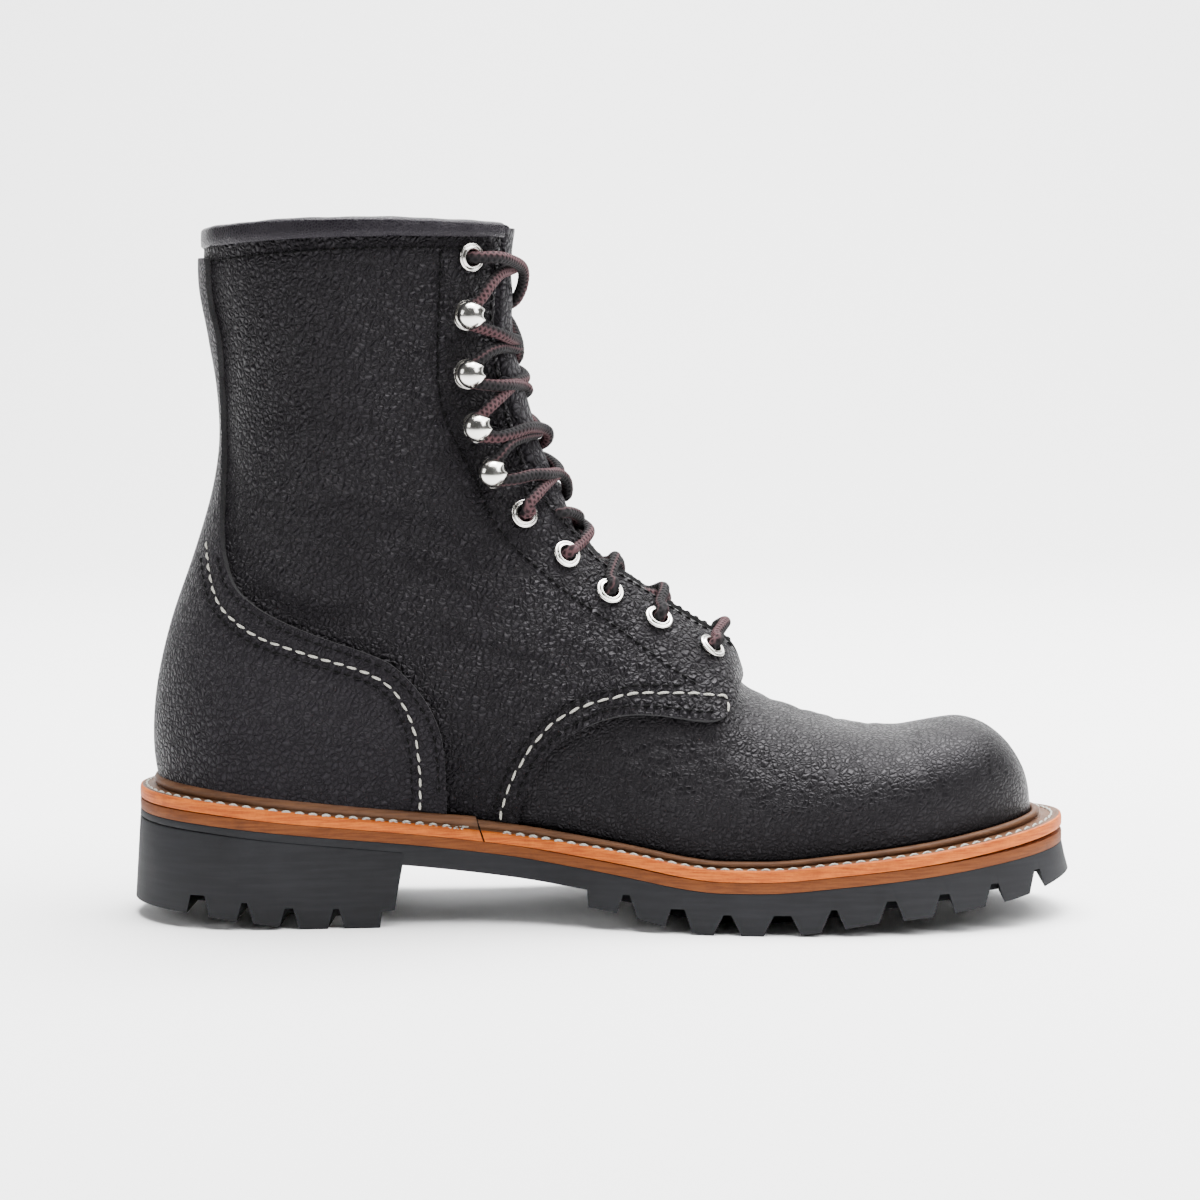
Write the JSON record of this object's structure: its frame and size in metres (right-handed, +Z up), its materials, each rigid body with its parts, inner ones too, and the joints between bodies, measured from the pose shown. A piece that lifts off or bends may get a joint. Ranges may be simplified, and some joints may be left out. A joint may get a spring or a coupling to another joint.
{
  "type": "logger boot",
  "caption": "Lace-up work boot with a lugged rubber sole, stitched welt, plain round toe and tall shaft, standing empty.",
  "frame": {"origin": "middle of the boot's length and width, on the floor", "axes": "+X towards the toe, +Z up, -Y towards the inner side of the foot"},
  "size_m": [0.3084, 0.1108, 0.2275],
  "materials": {
    "rubber": "matte",
    "midsole": "satin",
    "welt_leather": "satin",
    "upper_leather": "satin",
    "insole_leather": "matte",
    "nickel": "polished",
    "lace": "matte"
  },
  "bodies": {
    "root": {"outsole": "rubber", "heel": "rubber", "midsole": "midsole", "welt": "welt_leather", "insole": "insole_leather", "upper": "upper_leather", "counter": "upper_leather", "collar_binding": "upper_leather", "tongue": "upper_leather", "eyelet_inner_1": "nickel", "eyelet_inner_2": "nickel", "eyelet_inner_3": "nickel", "eyelet_inner_4": "nickel", "eyelet_inner_5": "nickel", "eyelet_inner_6": "nickel", "hook_inner_1": "nickel", "hook_inner_2": "nickel", "hook_inner_3": "nickel", "hook_inner_4": "nickel", "eyelet_outer_1": "nickel", "eyelet_outer_2": "nickel", "eyelet_outer_3": "nickel", "eyelet_outer_4": "nickel", "eyelet_outer_5": "nickel", "eyelet_outer_6": "nickel", "hook_outer_1": "nickel", "hook_outer_2": "nickel", "hook_outer_3": "nickel", "hook_outer_4": "nickel", "lace_bar": "lace", "lace_cross_2": "lace", "lace_cross_3": "lace", "lace_cross_4": "lace", "laces_upper": "lace"}
  },
  "joints": []
}
